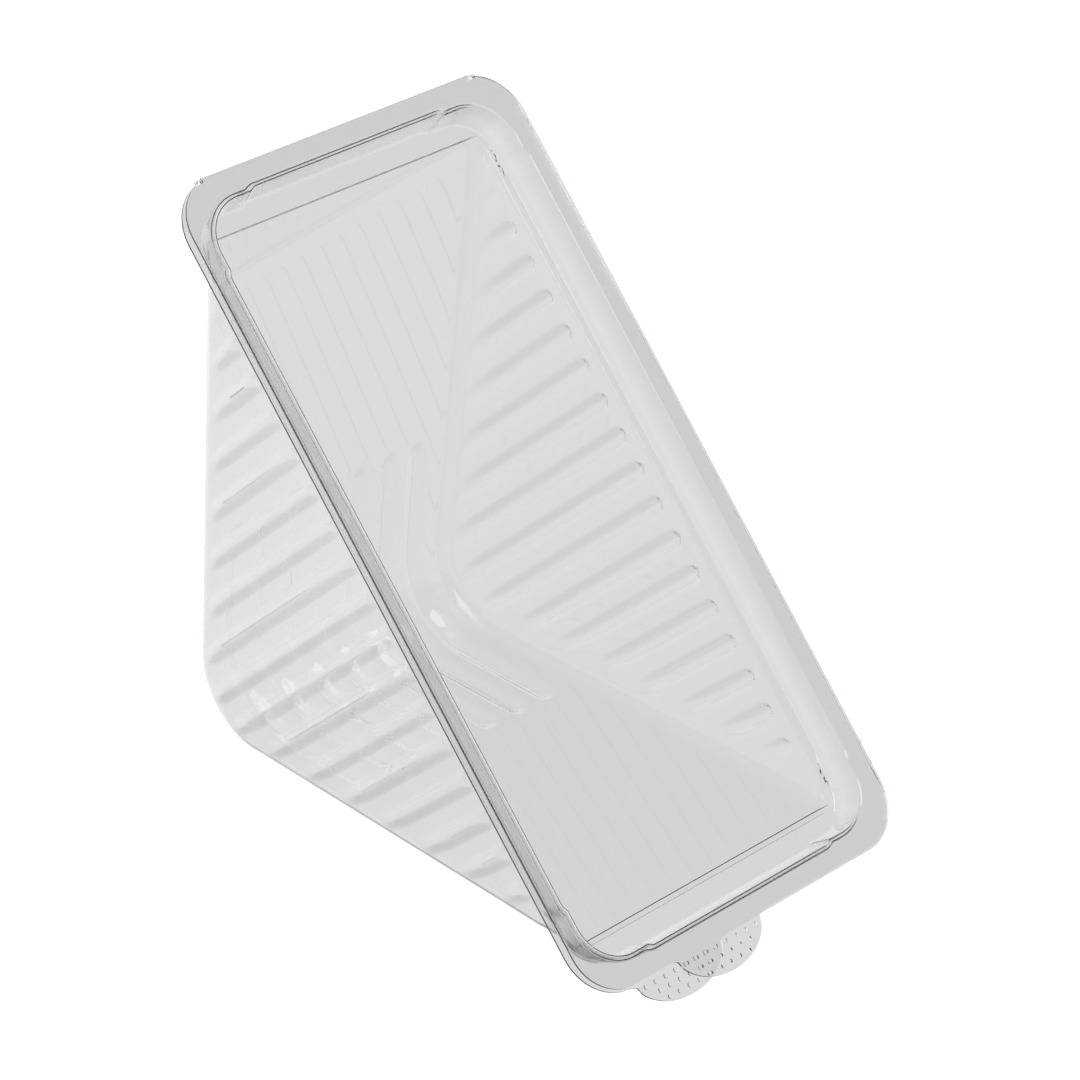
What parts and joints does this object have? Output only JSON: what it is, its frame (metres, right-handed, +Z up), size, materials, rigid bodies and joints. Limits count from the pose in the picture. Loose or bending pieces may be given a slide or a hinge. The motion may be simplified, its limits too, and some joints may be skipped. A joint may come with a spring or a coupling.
{
  "type": "sandwich wedge pack",
  "caption": "Clear hinged wedge pack for a cut sandwich, with ribbed triangular side walls, a rounded heel, a recessed snap-in lid and overlapping opening tabs.",
  "frame": {"origin": "on the ground, at the middle of the width and of the depth of the standing pack", "axes": "+Z up as the pack stands on its heel and tab, +X to the right seen from the front, -Y to the front where the sloping lid faces"},
  "size_m": [0.096, 0.1448, 0.1397],
  "materials": {
    "clear_sheet": "clear, glossy"
  },
  "bodies": {
    "tray": {"tray": "clear_sheet"},
    "lid": {"lid": "clear_sheet"}
  },
  "joints": [
    {"name": "lid_fold", "type": "hinge", "parent": "tray", "child": "lid", "pos_m": [0, 0.06834, 0.13933], "axis": [-1, 0, 0], "range_deg": [0, 180]}
  ]
}
